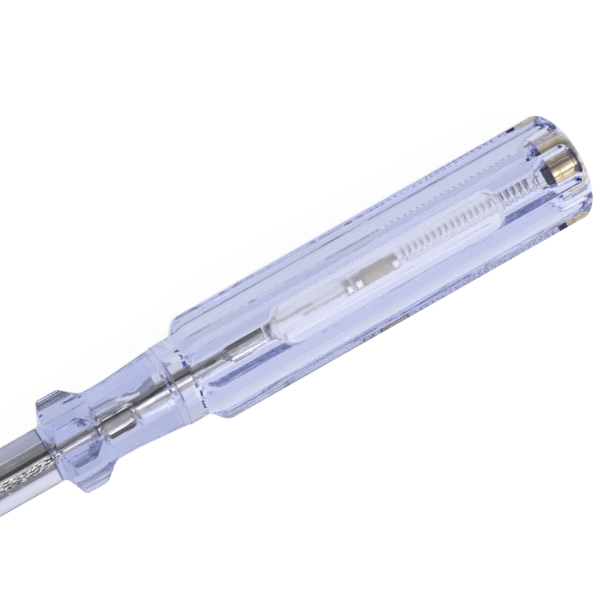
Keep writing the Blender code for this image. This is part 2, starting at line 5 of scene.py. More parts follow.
import bmesh
import bpy
import numpy as np
from mathutils import Matrix, Vector


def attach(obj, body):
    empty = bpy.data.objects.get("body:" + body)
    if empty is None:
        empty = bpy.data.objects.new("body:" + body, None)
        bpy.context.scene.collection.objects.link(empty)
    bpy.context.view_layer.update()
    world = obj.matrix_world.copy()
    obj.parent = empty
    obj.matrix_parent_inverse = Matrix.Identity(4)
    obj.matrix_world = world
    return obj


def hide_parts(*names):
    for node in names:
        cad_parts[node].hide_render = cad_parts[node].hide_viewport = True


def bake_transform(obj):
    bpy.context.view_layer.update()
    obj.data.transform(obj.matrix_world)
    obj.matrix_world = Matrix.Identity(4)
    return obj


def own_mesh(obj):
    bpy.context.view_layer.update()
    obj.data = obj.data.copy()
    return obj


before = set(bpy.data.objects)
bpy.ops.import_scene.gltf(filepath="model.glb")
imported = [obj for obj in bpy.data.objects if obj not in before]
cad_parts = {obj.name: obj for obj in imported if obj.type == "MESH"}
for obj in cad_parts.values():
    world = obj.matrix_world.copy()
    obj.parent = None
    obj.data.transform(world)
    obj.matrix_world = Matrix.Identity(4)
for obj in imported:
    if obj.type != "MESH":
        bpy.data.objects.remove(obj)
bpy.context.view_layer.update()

MM = 0.001

# Stations along the tool in millimetres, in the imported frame's axes, and the crimp's turn in degrees
FLATS_END, BLADE_END, SLEEVE_START = 4.0, 13.2, 17.0
NOSE = 58.1
SLEEVE_END = NOSE - 0.04
SLEEVE_LINE, CRACKLE_END = 57.82, 57.9
GUARD_FOOT, GUARD_FRONT, GUARD_REAR, NECK_START = 58.7, 60.1, 63.5, 66.1
CRIMP_MIDDLE, CRIMP_LENGTH, CRIMP_TURN = 68.65, 5.7, 39.0
NECK_FLARE, RING_START, RING_END, GRIP_START = 69.6, 77.8, 81.0, 82.75
TAIL_START, TAIL_END = 86.75, 92.95
LAMP_FRONT, LAMP_REAR = 93.25, 107.35
PAD_START, PAD_END = 93.3, 131.5
RESISTOR_FRONT, RESISTOR_REAR = 107.65, 114.85
SPRING_FRONT, SPRING_REAR, SPRING_MIDDLE = 115.15, 138.2, 126.675
PLUG_START, PLUG_DARK_END, PLUG_NOSE_END = 138.5, 139.95, 140.0
TOOL_END = 145.0

# Radii and heights in millimetres, spans in degrees
GRIP_RADIUS, GUARD_RADIUS, RING_RADIUS, NECK_RADIUS = 8.31, 7.5, 6.25, 5.4
SLEEVE_RADIUS, ROD_RADIUS = 4.26, 1.5
FLUTE_SPAN, FLUTE_DEPTH, FLUTE_HALF_FLOOR, FLUTE_RUN_OUT = 45.0, 0.8, 1.5, 2.1
FLUTE_CHORD = GRIP_RADIUS * math.cos(math.radians(FLUTE_SPAN / 2))
PAD_HEIGHT = FLUTE_CHORD - 0.06
FLUTE_FLOOR = FLUTE_CHORD - FLUTE_DEPTH
GROOVE_SPAN, GROOVE_FLOOR, GROOVE_HALF_FLOOR = 51.0, 5.5, 1.0
FLOOR_MIDDLE, FLOOR_HEIGHT = 70.0, -7.68


# Material helpers

def new_material(name):
    """Make an empty node material and return it with its tree and its output."""
    material = bpy.data.materials.new(name)
    material.use_nodes = True
    tree = material.node_tree
    tree.nodes.clear()
    output = tree.nodes.new("ShaderNodeOutputMaterial")
    return material, tree, output


def feed(tree, socket, value):
    """Link an output into a socket, or set the socket to a plain value."""
    if isinstance(value, bpy.types.NodeSocket):
        tree.links.new(value, socket)
    else:
        socket.default_value = value


def add_node(tree, kind, settings=None, **inputs):
    """Add a node, set its properties, and feed its inputs by name."""
    node = tree.nodes.new(kind)
    for key, value in (settings or {}).items():
        setattr(node, key, value)
    for key, value in inputs.items():
        feed(tree, node.inputs[key.replace("_", " ")], value)
    return node


def calculate(tree, operation, *values):
    """Result of a maths node, with its values fed in order."""
    node = add_node(tree, "ShaderNodeMath", {"operation": operation})
    for socket, value in zip(node.inputs, values):
        feed(tree, socket, value)
    return node.outputs[0]


def vector_maths(tree, operation, result, *vectors, **inputs):
    """Named result of a vector maths node, with its vectors fed in order."""
    node = add_node(tree, "ShaderNodeVectorMath", {"operation": operation}, **inputs)
    for socket, vector in zip(node.inputs, vectors):
        feed(tree, socket, vector)
    return node.outputs[result]


def object_place(tree):
    """Object coordinates, in metres."""
    return add_node(tree, "ShaderNodeTexCoord").outputs["Object"]


def coordinate(tree, axis):
    """One of the object coordinates, in metres."""
    return add_node(tree, "ShaderNodeSeparateXYZ", Vector=object_place(tree)).outputs[axis]


def noise(tree, scale, detail=3.0, roughness=0.5):
    """Noise in object space, with its scale in cycles a metre along each axis."""
    vector = add_node(tree, "ShaderNodeMapping", Vector=object_place(tree), Scale=scale).outputs["Vector"]
    node = add_node(tree, "ShaderNodeTexNoise", Vector=vector, Scale=1.0, Detail=detail, Roughness=roughness)
    return node.outputs["Fac"]


def spread(tree, value, low, high, start=0.3, stop=0.7):
    """Map the stretch of a value from start to stop onto low to high, held beyond its ends."""
    node = add_node(
        tree, "ShaderNodeMapRange", Value=value, From_Min=start, From_Max=stop, To_Min=low, To_Max=high
    )
    return node.outputs["Result"]


def edge_mask(tree, value, edge, soft):
    """One inside an edge, falling to nothing over a short soft stretch beyond it."""
    return spread(tree, value, 1.0, 0.0, edge, edge + soft)


def mix_values(tree, share, first, second):
    """Value that goes from the first to the second with the share."""
    return add_node(tree, "ShaderNodeMix", Factor=share, A=first, B=second).outputs["Result"]


def mix_colours(tree, share, first, second):
    """Colour that goes from the first to the second with the share."""
    node = add_node(
        tree, "ShaderNodeMix", {"data_type": "RGBA"}, Factor=share, A=(*first, 1.0), B=(*second, 1.0)
    )
    return node.outputs["Result"]


def mix_shaders(tree, share, first, second, output):
    """Show two shaders, the second by the share, on an output's surface."""
    node = add_node(tree, "ShaderNodeMixShader", Fac=share)
    tree.links.new(first, node.inputs[1])
    tree.links.new(second, node.inputs[2])
    tree.links.new(node.outputs["Shader"], output.inputs["Surface"])


def bump(tree, height, strength, distance, **inputs):
    """Bump from a height, with the distance in metres, over another bump if its normal is given."""
    node = add_node(tree, "ShaderNodeBump", Height=height, Strength=strength, Distance=distance, **inputs)
    return node.outputs["Normal"]


# Masks on the pieces

def pad_mask(tree):
    """One on the flat window pad with its rounded ends, and nothing elsewhere."""
    middle, half = (PAD_START + PAD_END) / 2 * MM, (PAD_END - PAD_START) / 2 * MM
    half_width, soft, end_bend = 3.0 * MM, 0.2 * MM, 160.0
    below_pad, on_pad = 6.95 * MM, 7.1 * MM
    y = coordinate(tree, "Y")
    along = calculate(tree, "SUBTRACT", coordinate(tree, "X"), middle)
    bow = calculate(tree, "MULTIPLY", y, y)
    mask = spread(tree, coordinate(tree, "Z"), 0.0, 1.0, below_pad, on_pad)
    for value, edge, bend in ((along, half - soft, end_bend), (y, half_width, 0.0)):
        reach = calculate(tree, "MULTIPLY_ADD", bow, bend, calculate(tree, "ABSOLUTE", value))
        mask = calculate(tree, "MULTIPLY", mask, edge_mask(tree, reach, edge, soft))
    return mask


def strip_mask(tree, start, stop):
    """One along a strip of the rod, about 21 degrees to each side of a line on its upper -Y side."""
    aim, strip_edge, strip_middle = math.radians(28.0), 1.36 * MM, 1.44 * MM
    towards = (0.0, -math.sin(aim), math.cos(aim))
    height = vector_maths(tree, "DOT_PRODUCT", "Value", object_place(tree), towards)
    mask = spread(tree, height, 0.0, 1.0, strip_edge, strip_middle)
    x = coordinate(tree, "X")
    mask = calculate(tree, "MULTIPLY", mask, spread(tree, x, 0.0, 1.0, start * MM, (start + 0.5) * MM))
    return calculate(tree, "MULTIPLY", mask, edge_mask(tree, x, stop * MM, 0.2 * MM))


def seat_mask(tree):
    """One on the plug's seat in the handle, and nothing elsewhere."""
    seat_radius, soft = 4.55 * MM, 0.05 * MM
    start, stop = (PLUG_START - 0.5) * MM, (PLUG_NOSE_END - 0.5) * MM
    across = vector_maths(tree, "MULTIPLY", "Vector", object_place(tree), (0.0, 1.0, 1.0))
    radius = vector_maths(tree, "LENGTH", "Value", across)
    behind = spread(tree, coordinate(tree, "X"), 0.0, 1.0, start, stop)
    return calculate(tree, "MULTIPLY", edge_mask(tree, radius, seat_radius, soft), behind)


# Materials

VIOLET = (0.0, 0.11, 0.74)
# The second colour is a painted reflection of the brass plug, the third a painted shade line at the sleeve's
# end.
CLEAR, BRASS_REFLECTION_TINT, SLEEVE_END_SHADE = (0.985, 0.985, 1.0), (0.95, 0.9, 0.79), (0.33, 0.35, 0.6)

# Heights of the bumps in metres
MOULDING, GRAIN, BLISTERS, DRAW_LINES, SPECKLE = 0.0001, 0.00002, 0.00016, 0.00005, 0.00003


def clear_plastic(name, tint, depth, wave, haze, pad_haze=0.0, pad_milk=0.0, dark_after=0.0):
    """Clear plastic that refracts, colours with depth, and has moulding waves, fine streaks and hazy wear.

    The handle also has a frosted pad and a painted reflection of the brass on the plug's seat, and the sleeve
    a painted shade line at its end.
    """
    material, tree, output = new_material(name)
    waves = noise(tree, (220.0, 420.0, 420.0), 2.0)
    streaks = noise(tree, (25.0, 1300.0, 1300.0), 2.0)
    wear = noise(tree, (900.0, 2600.0, 2600.0), 5.0, 0.6)
    rough = spread(tree, wear, haze[0], haze[1], 0.45, 0.75)
    colour, clearness = (*CLEAR, 1.0), 1.0
    if pad_haze:
        mask = pad_mask(tree)
        rough = calculate(tree, "MULTIPLY_ADD", mask, pad_haze, rough)
        clearness = spread(tree, mask, 1.0, 1.0 - pad_milk, 0.0, 1.0)
        # Painted reflection: the plastic on the plug's seat is tinted with the brass's colour.
        colour = mix_colours(tree, seat_mask(tree), CLEAR, BRASS_REFLECTION_TINT)
    # Painted shade: a dark blue band from dark_after to the end stands in for the dark refraction line where
    # the sleeve meets the handle.
    if dark_after:
        line = spread(tree, coordinate(tree, "X"), 0.0, 1.0, dark_after * MM, (dark_after + 0.05) * MM)
        colour = mix_colours(tree, line, CLEAR, SLEEVE_END_SHADE)
    skin = bump(tree, streaks, wave, MOULDING, Normal=bump(tree, waves, wave, MOULDING))
    shader = add_node(
        tree, "ShaderNodeBsdfPrincipled", IOR=1.49, Transmission_Weight=clearness, Base_Color=colour,
        Roughness=rough, Normal=skin,
    )
    tree.links.new(shader.outputs["BSDF"], output.inputs["Surface"])
    volume = add_node(tree, "ShaderNodeVolumeAbsorption", Color=(*tint, 1.0), Density=depth)
    tree.links.new(volume.outputs["Volume"], output.inputs["Volume"])
    return material


def metal(name, light, dark, roughness, grain, grain_scale, dark_before=0.0, crackled_before=0.0):
    """Metal with stains and a drawn or turned grain, and where asked a front darkened by painted shade, or a
    strip with crackled bumps and painted glints and dark specks.
    """
    material, tree, output = new_material(name)
    lines = noise(tree, grain_scale, 4.0, 0.6)
    stains = noise(tree, (400.0, 700.0, 700.0))
    colour = mix_colours(tree, spread(tree, stains, 0.0, 1.0), dark, light)
    skin = bump(tree, lines, grain, GRAIN)
    if dark_before:
        # Painted shade: the front, the plug's hollow nose, is darkened to stand in for the dark reflections
        # in it.
        painted_nose_shade = spread(tree, coordinate(tree, "X"), 0.45, 1.0, dark_before * MM, (dark_before + 0.1) * MM)
        colour = vector_maths(tree, "SCALE", "Vector", colour, Scale=painted_nose_shade)
    if crackled_before:
        crackle = noise(tree, (1500.0, 4600.0, 4600.0), 4.0, 0.6)
        strip = strip_mask(tree, SLEEVE_START + 0.5, crackled_before)
        # Painted highlight and shade: in the strip the colour is broken into bright glints and dark specks,
        # standing in for the rod's patchy contact with the sleeve's bore; the bump below is real.
        painted_crackle_glints = mix_values(tree, strip, 1.0, spread(tree, crackle, 0.02, 1.8, 0.45, 0.58))
        colour = vector_maths(tree, "SCALE", "Vector", colour, Scale=painted_crackle_glints)
        skin = bump(tree, crackle, strip, BLISTERS, Normal=skin)
    rough = spread(tree, lines, roughness * 0.7, roughness * 1.4)
    shader = add_node(
        tree, "ShaderNodeBsdfPrincipled", Metallic=1.0, Base_Color=colour, Roughness=rough, Normal=skin
    )
    tree.links.new(shader.outputs["BSDF"], output.inputs["Surface"])
    return material


def lamp_glass():
    """Thin drawn glass with faint draw lines."""
    material, tree, output = new_material("lamp_glass")
    lines = noise(tree, (150.0, 1500.0, 1500.0))
    shader = add_node(
        tree, "ShaderNodeBsdfPrincipled", IOR=1.5, Transmission_Weight=1.0,
        Base_Color=(0.99, 0.99, 0.98, 1.0), Roughness=spread(tree, lines, 0.0, 0.03),
        Normal=bump(tree, lines, 0.15, DRAW_LINES),
    )
    tree.links.new(shader.outputs["BSDF"], output.inputs["Surface"])
    return material


def resistor_coating():
    """Beige baked coating, speckled, with a waxy sheen."""
    material, tree, output = new_material("resistor_coating")
    speckle = noise(tree, (2500.0, 2500.0, 2500.0), 5.0, 0.65)
    ramp = add_node(tree, "ShaderNodeValToRGB", Fac=speckle)
    darker, lighter = ramp.color_ramp.elements
    darker.position, darker.color = 0.35, (0.42, 0.32, 0.2, 1.0)
    lighter.position, lighter.color = 0.62, (0.78, 0.66, 0.48, 1.0)
    shader = add_node(
        tree, "ShaderNodeBsdfPrincipled", Roughness=0.42, Base_Color=ramp.outputs["Color"],
        Normal=bump(tree, speckle, 0.4, SPECKLE),
    )
    tree.links.new(shader.outputs["BSDF"], output.inputs["Surface"])
    return material


# The handle's plastic carries a painted reflection of the brass on the plug's seat.
PLASTIC = clear_plastic(
    "clear_violet_plastic", VIOLET, depth=36.0, wave=0.8, haze=(0.0, 0.03), pad_haze=0.16, pad_milk=0.27
)
# The sleeve has a painted shade line at its end.
SLEEVE = clear_plastic(
    "clear_sleeve_plastic", VIOLET, depth=30.0, wave=0.25, haze=(0.01, 0.07), dark_after=SLEEVE_LINE
)
# Nickel-plated rod, with painted glints and dark specks in a strip under the sleeve.
STEEL = metal(
    "nickel_plated_steel", light=(0.64, 0.62, 0.57), dark=(0.44, 0.42, 0.38), roughness=0.12, grain=0.3,
    grain_scale=(300.0, 9000.0, 9000.0), crackled_before=CRACKLE_END,
)
NICKEL = metal(
    "nickel", light=(0.72, 0.7, 0.66), dark=(0.55, 0.53, 0.5), roughness=0.22, grain=0.3,
    grain_scale=(3000.0, 3000.0, 3000.0),
)
WIRE = metal(
    "spring_steel", light=(0.96, 0.96, 0.98), dark=(0.8, 0.8, 0.82), roughness=0.34, grain=0.2,
    grain_scale=(4000.0, 4000.0, 4000.0),
)
# Brass with painted shade darkening the plug's nose.
BRASS = metal(
    "brass", light=(1.0, 0.87, 0.61), dark=(0.76, 0.63, 0.43), roughness=0.2, grain=0.35,
    grain_scale=(9000.0, 900.0, 900.0), dark_before=PLUG_DARK_END,
)
GLASS = lamp_glass()
COATING = resistor_coating()


# Mesh helpers

SHARP_ANGLE = math.radians(32.0)
WELD, SLIVER = 1e-7, 1e-8


def smooth_min(first, second, reach):
    """Lower of two values, rounded where they are closer than the reach."""
    near = np.maximum(reach - np.abs(first - second), 0.0) / reach
    return np.minimum(first, second) - near * near * reach / 4


def smooth_max(first, second, reach):
    """Higher of two values, rounded where they are closer than the reach."""
    return -smooth_min(-first, -second, reach)


def ease(value):
    """Smooth step from nothing at zero to one at one."""
    value = np.clip(value, 0.0, 1.0)
    return value * value * (3 - 2 * value)


def ramp_up(value):
    """Straight step from nothing at zero to one at one."""
    return min(1.0, max(0.0, value))


def rounded(corners, steps=8):
    """Points of a path through (x, radius, fillet) corners, with real arcs."""
    points = []
    for index, (x, y, fillet) in enumerate(corners):
        corner = Vector((x, y))
        if index in (0, len(corners) - 1) or fillet == 0:
            points.append((x, y))
            continue
        before = (Vector(corners[index - 1][:2]) - corner).normalized()
        after = (Vector(corners[index + 1][:2]) - corner).normalized()
        half = before.angle(after) / 2
        centre = corner + (before + after).normalized() * (fillet / math.sin(half))
        start = corner + before * (fillet / math.tan(half)) - centre
        stop = corner + after * (fillet / math.tan(half)) - centre
        sweep = start.angle_signed(stop)
        for step in range(steps + 1):
            spoke = start.copy()
            spoke.rotate(Matrix.Rotation(-sweep * step / steps, 2))
            points.append(tuple(centre + spoke))
    return points


def divided(points, spacing):
    """Add points on long stretches of a path, so that no step is longer than the spacing for its x."""
    result = [points[0]]
    for first, second in zip(points, points[1:]):
        length = math.dist(first, second)
        middle = (first[0] + second[0]) / 2
        count = max(1, math.ceil(length / spacing(middle)))
        for step in range(1, count + 1):
            share = step / count
            result.append(tuple(a + (b - a) * share for a, b in zip(first, second)))
    return result


def even_angles(count):
    """Angles spread evenly round the axis."""
    return np.arange(count) * 2 * math.pi / count


def angles_about_top(angles):
    """Angles measured from +Z, from minus to plus half a turn."""
    return (angles + math.pi) % (2 * math.pi) - math.pi


def ring_points(x, radius, angles):
    """Points of one ring across the axis, in millimetres; angles are measured from +Z towards +Y."""
    radius = np.broadcast_to(radius, angles.shape)
    x = np.broadcast_to(x, angles.shape)
    return np.stack([x, radius * np.sin(angles), radius * np.cos(angles)], axis=1)


def mesh_of_rings(name, rings, material, wrap=False):
    """Join rings of equal counts into one closed mesh, as a loop or with an end cap on each side."""
    count = len(rings[0])
    points = np.concatenate(rings) * MM
    verts = [tuple(point) for point in points]
    faces = []
    last = len(rings) if wrap else len(rings) - 1
    for ring in range(last):
        here = ring * count
        ahead = (ring + 1) % len(rings) * count
        for step in range(count):
            beside = (step + 1) % count
            faces.append((here + step, ahead + step, ahead + beside, here + beside))
    if not wrap:
        for base, flip in ((0, True), ((len(rings) - 1) * count, False)):
            middle = len(verts)
            verts.append(tuple(points[base:base + count].mean(axis=0)))
            for step in range(count):
                pair = (base + step, base + (step + 1) % count)
                faces.append((middle, *pair) if flip else (middle, pair[1], pair[0]))
    mesh = bpy.data.meshes.new(name)
    mesh.from_pydata(verts, [], faces)
    return new_piece(name, mesh, material)


def new_piece(name, mesh, material):
    """Clean a mesh, shade it and link it as an object."""
    work = bmesh.new()
    work.from_mesh(mesh)
    bmesh.ops.remove_doubles(work, verts=work.verts, dist=WELD)
    bmesh.ops.dissolve_degenerate(work, edges=work.edges, dist=SLIVER)
    bmesh.ops.recalc_face_normals(work, faces=work.faces)
    work.to_mesh(mesh)
    work.free()
    mesh.shade_smooth()
    mesh.set_sharp_from_angle(angle=SHARP_ANGLE)
    mesh.materials.append(material)
    piece = bpy.data.objects.new(name, mesh)
    bpy.context.scene.collection.objects.link(piece)
    return piece


def turned(name, path, material, count=72):
    """Closed piece turned about the axis from (x, radius) points that end on the axis or join up."""
    angles = even_angles(count)
    wrap = path[0][1] > 0 and path[0] == path[-1]
    if wrap:
        path = path[:-1]
    rings = [ring_points(x, max(radius, 1e-4), angles) for x, radius in path]
    return mesh_of_rings(name, rings, material, wrap)


def swept(name, path, radius, material, sides):
    """Round wire along a path of points in millimetres, closed at its ends."""
    path = [Vector(point) for point in path]
    tangents = []
    for index in range(len(path)):
        before, after = path[max(index - 1, 0)], path[min(index + 1, len(path) - 1)]
        tangents.append((after - before).normalized())
    side = tangents[0].orthogonal().normalized()
    rings = []
    for point, tangent in zip(path, tangents):
        side = (side - tangent * side.dot(tangent)).normalized()
        up = tangent.cross(side)
        ring = []
        for step in range(sides):
            turn = 2 * math.pi * step / sides
            ring.append(point + (side * math.cos(turn) - up * math.sin(turn)) * radius)
        rings.append(np.array(ring))
    return mesh_of_rings(name, rings, material)


def settle(piece, node, body):
    """Put a piece in a node's place on its body."""
    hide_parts(node)
    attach(piece, body)


# Handle

SECTION_POINTS = 480
SECTION_CHANGE, SECTION_CHANGE_LENGTH = 68.0, 9.0


def sector_angles(edges):
    """Angles over one sixth of the turn, packed round the given edges, repeated six times, in radians."""
    fine = np.linspace(0.0, 30.0, 3001)
    density = 1.0 + sum(9.0 * np.exp(-((fine - edge) / 0.7) ** 2) for edge in edges)
    total = np.concatenate([[0.0], np.cumsum((density[1:] + density[:-1]) / 2)])
    half = np.interp(np.linspace(0.0, total[-1], SECTION_POINTS // 12 + 1), total, fine)
    sector = np.concatenate([-half[:0:-1], half[:-1]])
    return np.radians(np.concatenate([sector + 60.0 * turn for turn in range(6)]))


def section_angles(x):
    """Ring angles of a station, packed round the guard's groove edges in front and the crests behind."""
    share = ease((x - SECTION_CHANGE) / SECTION_CHANGE_LENGTH)
    groove_edge = math.degrees(math.atan(GROOVE_HALF_FLOOR / GROOVE_FLOOR))
    flute_edge = math.degrees(math.atan(FLUTE_HALF_FLOOR / FLUTE_FLOOR))
    guard = sector_angles((groove_edge, GROOVE_SPAN / 2))
    grip = sector_angles((flute_edge, FLUTE_SPAN / 2))
    return guard + (grip - guard) * share


def handle_profile():
    """Outer profile of the handle as (x, radius) points from the nose to the end."""
    corners = [
        (NOSE, 4.1, 0), (NOSE + 0.12, SLEEVE_RADIUS, 0.1), (GUARD_FOOT, 4.36, 0.8),
        (GUARD_FRONT, GUARD_RADIUS, 0.6), (GUARD_REAR, GUARD_RADIUS, 1.2),
        (NECK_START, NECK_RADIUS, 2.5), (NECK_FLARE, NECK_RADIUS, 30.0),
        (RING_START - 0.02, 6.1, 0), (RING_START, RING_RADIUS, 0.05), (RING_END, RING_RADIUS, 0.55),
        (GRIP_START, GRIP_RADIUS, 2.0), (TOOL_END, GRIP_RADIUS, 0),
    ]
    points = rounded(corners)[:-1]

    # Domed end, an ellipse that stops at the plug's rim
    rim, dome_length, dome_steps = 4.78, 3.6, 24
    share = math.sqrt(1 - (rim / GRIP_RADIUS) ** 2)
    dome_start = TOOL_END - dome_length * share
    points.append((dome_start, GRIP_RADIUS))
    for step in range(1, dome_steps + 1):
        turn = math.asin(share) * step / dome_steps
        points.append((dome_start + dome_length * math.sin(turn), GRIP_RADIUS * math.cos(turn)))

    pad_ends = ((PAD_START - 1, PAD_START + 4.5), (PAD_END - 4.5, PAD_END + 1))
    for x in (place for ends in pad_ends for place in ends):
        index = next(i for i, point in enumerate(points) if point[0] > x)
        points.insert(index, (x, GRIP_RADIUS))

    def spacing(x):
        """Longest step at a station, short at the guard, the neck and the pad's rounded ends."""
        if x < NECK_START:
            return 0.16
        if x < GRIP_START + 1.5:
            return 0.35
        if any(start < x < stop for start, stop in pad_ends):
            return 0.11
        return 2.0

    return divided(points, spacing)


def channel_radius(angles, skin, span, floor, half_floor, soft):
    """Distance from the axis, at each angle, to six even channels with flat floors and open flanks."""
    swing = np.abs((angles + math.pi / 6) % (math.pi / 3) - math.pi / 6)
    crest = math.radians(span / 2)
    slope = (skin * math.cos(crest) - floor) / (skin * math.sin(crest) - half_floor)
    flank = (floor - slope * half_floor) / (np.cos(swing) - slope * np.sin(swing))
    return smooth_max(floor / np.cos(swing), flank, soft)


def pad_radius(x, angles):
    """Distance from the axis to the flat pad, or nothing where the pad isn't."""
    half_width, end_length, ramp_length = 3.35, 2.6, 1.5
    across = PAD_HEIGHT * np.tan(np.clip(angles_about_top(angles), -1.0, 1.0))
    bow = end_length * (1 - np.sqrt(np.maximum(1 - (across / half_width) ** 2, 0.0)))
    inside = np.minimum(x - PAD_START, PAD_END - x) - bow
    rise = PAD_HEIGHT - FLUTE_FLOOR
    height = FLUTE_FLOOR + rise * ease(inside / ramp_length)
    front = (np.abs(across) < half_width) & (np.cos(angles) > 0) & (inside > 0)
    return np.where(front, height / np.maximum(np.cos(angles), 0.1), 0.0)


def neck_bore(x, radius, angles):
    """Bore of the neck: closer to the rod on the +Y side, and filled round the crimp."""
    bore_start, bore_end = 65.0, 77.6
    waist, waist_reach, waist_depth = 73.0, 2.6, 0.62
    filled_swing, filled_radius = math.radians(64.0), 1.45
    if not bore_start < x < bore_end:
        return radius
    squeeze = math.exp(-((x - waist) / waist_reach) ** 2)
    side = 0.5 + 0.5 * np.sin(angles)
    radius = radius - waist_depth * squeeze * side**2
    off_crimp = np.abs(angles_about_top(angles + math.radians(CRIMP_TURN)))
    off_middle = abs(x - CRIMP_MIDDLE)
    filled = ease((filled_swing - off_crimp) / 0.2) * ease((CRIMP_LENGTH / 2 + 0.5 - off_middle) / 0.4)
    return radius - (radius - filled_radius) * filled


def handle_rings():
    """Rings along the outside of the handle and back through its bore."""
    rings = []
    for x, radius in handle_profile():
        angles = section_angles(x)
        outer = np.full(len(angles), radius)
        if x < NECK_START + 1.0:
            grooves = channel_radius(
                angles, GUARD_RADIUS, GROOVE_SPAN, GROOVE_FLOOR, GROOVE_HALF_FLOOR, soft=0.1
            )
            outer = smooth_min(outer, grooves, reach=0.12)
        if x > RING_END - 0.5:
            run_out = max(0.0, 1 - (x - RING_END) / FLUTE_RUN_OUT)
            floor = FLUTE_FLOOR - (FLUTE_FLOOR - RING_RADIUS) * run_out
            flutes = channel_radius(angles, GRIP_RADIUS, FLUTE_SPAN, floor, FLUTE_HALF_FLOOR, soft=0.12)
            outer = smooth_min(outer, flutes, reach=0.1)
        if PAD_START - 1 < x < PAD_END + 1:
            outer = smooth_max(outer, pad_radius(x, angles), reach=0.04)
        rings.append(ring_points(x, outer, angles))
    bore = [
        (TOOL_END, 4.48, 0), (143.62, 4.47, 0.03), (143.58, 4.29, 0.03), (141.2, 4.29, 0),
        (141.1, 4.25, 0.02), (PLUG_NOSE_END + 0.1, 4.24, 0.1), (PLUG_NOSE_END - 2.0, 2.72, 0.1),
        (78.2, 2.7, 0.35), (78.05, 1.53, 0.1), (77.65, 1.53, 0.1), (77.2, 1.9, 0.3), (76.0, 2.1, 0.5),
        (65.2, 2.12, 0.6), (64.3, 1.52, 0.3), (NOSE, 1.52, 0),
    ]
    for x, radius in divided(rounded(bore, 4), lambda x: 0.35 if 64.0 < x < 78.0 else 3.0):
        angles = section_angles(x)
        rings.append(ring_points(x, neck_bore(x, radius, angles), angles))
    return rings


handle = mesh_of_rings("handle_clear", handle_rings(), PLASTIC, wrap=True)
settle(handle, "handle_body", "handle")


# Rod with its blade, crimp and tail

CRIMP_REACH, FLATTENING_START = 3.2, 84.9


def blade_skin(x, angles, skin):
    """Skin with the blade's two flats, which taper out to the round rod."""
    half_blade, taper_length = 0.35, 9.0
    half = half_blade + max(0.0, x - FLATS_END) * (ROD_RADIUS - half_blade) / taper_length
    return smooth_min(skin, half / np.maximum(np.abs(np.cos(angles)), 0.01), reach=0.05)


def crimp_skin(x, angles, skin):
    """Skin with the stamped crimp: a raised ear with rounded ends, and a sunk floor inside its rim."""
    half_straight, ear_height, floor_height = 1.85, 1.68, 1.15
    ear_radius, inner_radius, wall_slope, open_side = 1.0, 0.6, 6, 9.0
    swing = angles + math.radians(CRIMP_TURN)
    up, across = np.cos(swing), np.abs(np.sin(swing))
    beyond = max(0.0, abs(x - CRIMP_MIDDLE) - half_straight)
    half_width = math.sqrt(max(0.0, ear_radius**2 - beyond**2))
    half_inner = math.sqrt(max(0.0, inner_radius**2 - beyond**2))
    if half_width > 0:
        ear = smooth_min(ear_height / np.maximum(up, 0.05), half_width / np.maximum(across, 0.01), reach=0.08)
        skin = smooth_max(skin, np.where(up > 0.1, ear, 0.0), reach=0.12)
    if half_inner > 0:
        floor = floor_height / np.maximum(up, 0.05)
        rise = (across / np.maximum(up, 0.3) * 1.4 - half_inner) * wall_slope
        wall = np.where(up > 0.3, rise + floor_height, open_side)
        skin = smooth_min(skin, np.maximum(floor, wall), reach=0.08)
    return skin


def tail_skin(x, angles):
    """Skin of the tail, pressed flat and wide, with a chamfered end."""
    wider = ramp_up((x - TAIL_START) / 0.8)
    width = ROD_RADIUS + 0.8 * wider - max(0.0, x - (TAIL_END - 0.4))
    thick = ROD_RADIUS - 0.9 * ease((x - 85.6) / 1.9)
    sine, cosine = np.abs(np.sin(angles)), np.abs(np.cos(angles))
    plate = smooth_min(width / np.maximum(sine, 0.01), thick / np.maximum(cosine, 0.01), reach=0.15)
    return smooth_min(np.full_like(angles, ROD_RADIUS + 0.9 * wider), plate, reach=0.1)


def rod_radius(x, angles):
    """Distance from the axis to the rod's skin at a station."""
    if x > FLATTENING_START:
        return tail_skin(x, angles)
    skin = np.full_like(angles, ROD_RADIUS)
    if x < BLADE_END:
        skin = blade_skin(x, angles, skin)
    if abs(x - CRIMP_MIDDLE) < CRIMP_REACH:
        skin = crimp_skin(x, angles, skin)
    return skin


def rod_stations():
    """Stations along the rod, close together where its shape changes."""
    spans = [
        (0.0, FLATS_END, 0.5), (FLATS_END, BLADE_END, 0.3), (BLADE_END, 65.6, 3.0), (65.6, 71.7, 0.07),
        (71.7, FLATTENING_START, 3.0), (FLATTENING_START, 88.0, 0.08), (88.0, 92.4, 0.6),
        (92.4, TAIL_END, 0.1),
    ]
    stations = [0.0]
    for start, stop, step in spans:
        count = math.ceil((stop - start) / step)
        stations += [start + (stop - start) * index / count for index in range(1, count + 1)]
    return stations


rod_angles = even_angles(144)
rod = mesh_of_rings(
    "rod_steel", [ring_points(x, rod_radius(x, rod_angles), rod_angles) for x in rod_stations()], STEEL
)
settle(rod, "blade_rod", "handle")


# Insulating sleeve, close on the rod

